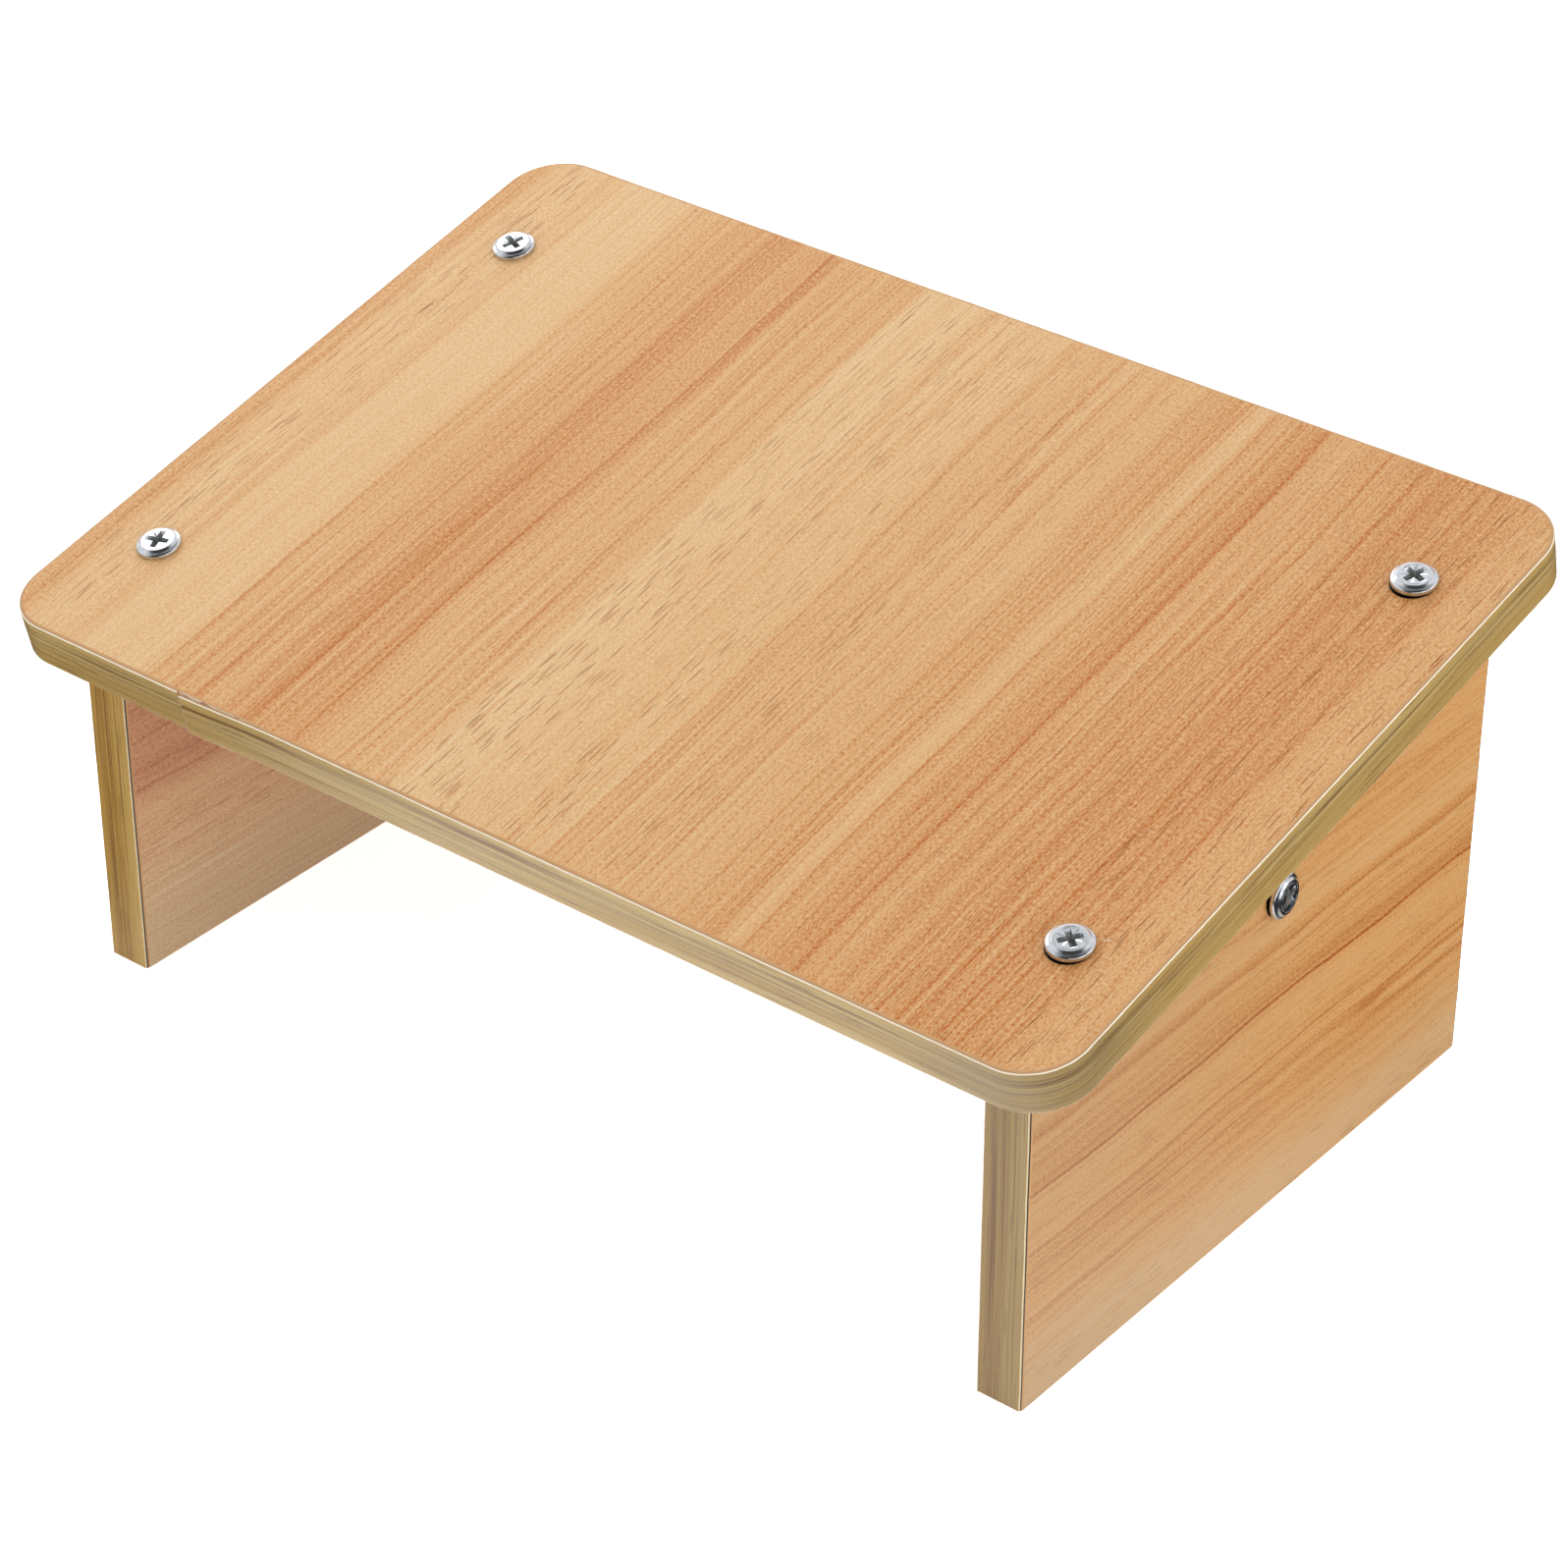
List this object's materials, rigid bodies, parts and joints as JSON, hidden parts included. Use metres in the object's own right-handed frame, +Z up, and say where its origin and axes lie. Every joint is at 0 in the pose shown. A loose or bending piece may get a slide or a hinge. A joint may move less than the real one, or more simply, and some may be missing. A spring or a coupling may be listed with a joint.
{
  "type": "footrest",
  "caption": "Sloping under-desk footrest: a wood-print top board with rounded corners, screwed to two side panels that a stretcher ties together.",
  "frame": {"origin": "on the floor, in the middle of the footrest's outline seen from above", "axes": "+X to the right along the front edge, +Y to the back, which is the high side, +Z up"},
  "size_m": [0.38, 0.2486, 0.1801],
  "materials": {
    "wood_print_board": "satin printed wood grain on faced board",
    "edge_band": "satin printed wood grain on plastic band, pale where it is trimmed",
    "zinc_screw": "bright zinc plating"
  },
  "bodies": {
    "root": {"top_board": "wood_print_board", "left_side_panel": "wood_print_board", "right_side_panel": "wood_print_board", "stretcher": "wood_print_board", "top_edge_band": "edge_band", "left_front_band": "edge_band", "left_back_band": "edge_band", "right_front_band": "edge_band", "right_back_band": "edge_band", "stretcher_band": "edge_band", "top_screws": "zinc_screw", "stretcher_screws": "zinc_screw"}
  },
  "joints": []
}
